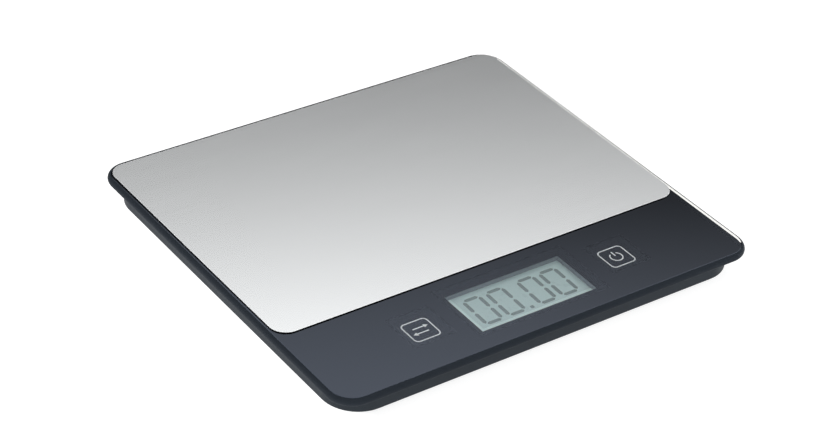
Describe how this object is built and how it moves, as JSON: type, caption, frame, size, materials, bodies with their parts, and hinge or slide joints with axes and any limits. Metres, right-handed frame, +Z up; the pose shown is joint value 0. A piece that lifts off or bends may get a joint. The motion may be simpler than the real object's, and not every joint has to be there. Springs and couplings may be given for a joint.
{
  "type": "digital kitchen scale",
  "caption": "Slim electronic kitchen scale: a glass slab with a steel weighing sheet, a display and touch keys in front, on a moulded base with weighing feet.",
  "frame": {"origin": "on the worktop, under the middle of the glass slab", "axes": "+X to the right along the width, +Y to the rear, +Z up; the display and keys are towards -Y"},
  "size_m": [0.22, 0.2, 0.0152],
  "materials": {
    "brushed_steel": "fine straight brushing, bare",
    "bonding_film": "clear adhesive film",
    "glass": "polished faces, ground half-round edge",
    "back_print": "dark slate ink seen through the glass",
    "base_plastic": "fine spark texture",
    "foam_tape": "black foam",
    "display_glass": "grey-green display cell",
    "reflector_film": "satin reflector",
    "contact_rubber": "satin",
    "circuit_board": "solder mask",
    "epoxy_cap": "poured epoxy",
    "component_body": "mixed small parts",
    "connector_plastic": "natural nylon",
    "spring_brass": "bright wire",
    "load_cell_alloy": "stamped and plated",
    "gauge_coating": "white protective coating",
    "zinc_screw": "bright zinc",
    "wire_red": "insulation",
    "wire_black": "insulation",
    "coin_steel": "satin nickel",
    "contact_plate": "nickel-plated spring strip",
    "foot_plastic": "satin moulding",
    "pad_rubber": "non-slip pad",
    "cover_plastic": "fine spark texture"
  },
  "bodies": {
    "chassis": {"steel_platform": "brushed_steel", "platform_film": "bonding_film", "glass_slab": "glass", "glass_ink": "back_print", "base_housing": "base_plastic", "rim_tape": "foam_tape", "display_gasket": "foam_tape", "display_front_glass": "display_glass", "display_rear_glass": "display_glass", "display_reflector": "reflector_film", "display_holder": "base_plastic", "zebra_strip": "contact_rubber", "main_board": "circuit_board", "controller_cap": "epoxy_cap", "board_components": "component_body", "board_connectors": "connector_plastic", "touch_spring_left": "spring_brass", "touch_spring_right": "spring_brass", "load_cell_front_left": "load_cell_alloy", "load_cell_front_right": "load_cell_alloy", "load_cell_rear_left": "load_cell_alloy", "load_cell_rear_right": "load_cell_alloy", "strain_gauges": "gauge_coating", "cell_screws": "zinc_screw", "cell_wires_front_left": "wire_red", "cell_wires_front_right": "wire_red", "cell_wires_rear_left": "wire_red", "cell_wires_rear_right": "wire_red", "battery_wire_plus": "wire_red", "battery_wire_minus": "wire_black", "coin_cell": "coin_steel", "contact_plus": "contact_plate", "contact_minus": "contact_plate"},
    "foot_front_left": {"foot_front_left": "foot_plastic", "foot_pad_front_left": "pad_rubber"},
    "foot_front_right": {"foot_front_right": "foot_plastic", "foot_pad_front_right": "pad_rubber"},
    "foot_rear_left": {"foot_rear_left": "foot_plastic", "foot_pad_rear_left": "pad_rubber"},
    "foot_rear_right": {"foot_rear_right": "foot_plastic", "foot_pad_rear_right": "pad_rubber"},
    "cover": {"battery_cover": "cover_plastic"}
  },
  "joints": [
    {"name": "foot_travel_front_left", "type": "slide", "parent": "chassis", "child": "foot_front_left", "axis": [0, 0, 1], "range_m": [0, 0.0004], "stiffness_N_per_m": 4000, "springref_m": -0.00045, "deforming": ["load_cell_front_left"]},
    {"name": "foot_travel_front_right", "type": "slide", "parent": "chassis", "child": "foot_front_right", "axis": [0, 0, 1], "range_m": [0, 0.0004], "stiffness_N_per_m": 4000, "springref_m": -0.00045, "deforming": ["load_cell_front_right"]},
    {"name": "foot_travel_rear_left", "type": "slide", "parent": "chassis", "child": "foot_rear_left", "axis": [0, 0, 1], "range_m": [0, 0.0004], "stiffness_N_per_m": 4000, "springref_m": -0.00045, "deforming": ["load_cell_rear_left"]},
    {"name": "foot_travel_rear_right", "type": "slide", "parent": "chassis", "child": "foot_rear_right", "axis": [0, 0, 1], "range_m": [0, 0.0004], "stiffness_N_per_m": 4000, "springref_m": -0.00045, "deforming": ["load_cell_rear_right"]},
    {"name": "battery_cover_turn", "type": "hinge", "parent": "chassis", "child": "cover", "pos_m": [0, -0.02, 0.0024], "axis": [0, 0, -1], "range_deg": [0, 45]}
  ]
}
